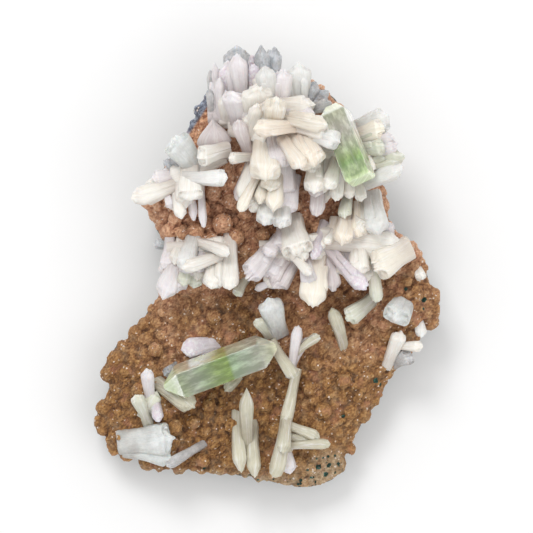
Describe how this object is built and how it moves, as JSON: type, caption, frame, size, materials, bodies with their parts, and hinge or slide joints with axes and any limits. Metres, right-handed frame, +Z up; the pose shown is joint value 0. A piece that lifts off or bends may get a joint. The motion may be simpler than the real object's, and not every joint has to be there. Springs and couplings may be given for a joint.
{
  "type": "apophyllite cluster",
  "caption": "Mineral cluster: green apophyllite prisms and pale stilbite blades on a brown lumpy crust over dark basalt, lying on its flat back.",
  "frame": {"origin": "middle of the object's footprint, on the surface it lies on", "axes": "+Z up out of the flat back, +Y along the length towards the narrow end, +X towards the wide end's broken right side"},
  "size_m": [0.0937, 0.1196, 0.0451],
  "materials": {
    "crust": "rough",
    "stilbite": "satin",
    "apophyllite": "polished"
  },
  "bodies": {
    "root": {"matrix": "crust", "apophyllite_lower": "apophyllite", "apophyllite_upper": "apophyllite", "stilbite_crown": "stilbite", "stilbite_left_arm": "stilbite", "stilbite_left_fan": "stilbite", "stilbite_ledge_teeth": "stilbite", "stilbite_pale_blade": "stilbite", "stilbite_ledge_foot": "stilbite", "stilbite_ledge_bud": "stilbite", "stilbite_right_block": "stilbite", "stilbite_right_bud": "stilbite", "stilbite_edge_spray": "stilbite", "stilbite_edge_bud": "stilbite", "stilbite_shield": "stilbite", "stilbite_rear_blade": "stilbite", "stilbite_rear_bud": "stilbite", "stilbite_under_blade": "stilbite", "stilbite_corner_sheaf": "stilbite", "stilbite_white_plates": "stilbite", "stilbite_tall_trio": "stilbite", "stilbite_branch": "stilbite", "stilbite_lone_blade": "stilbite"}
  },
  "joints": []
}
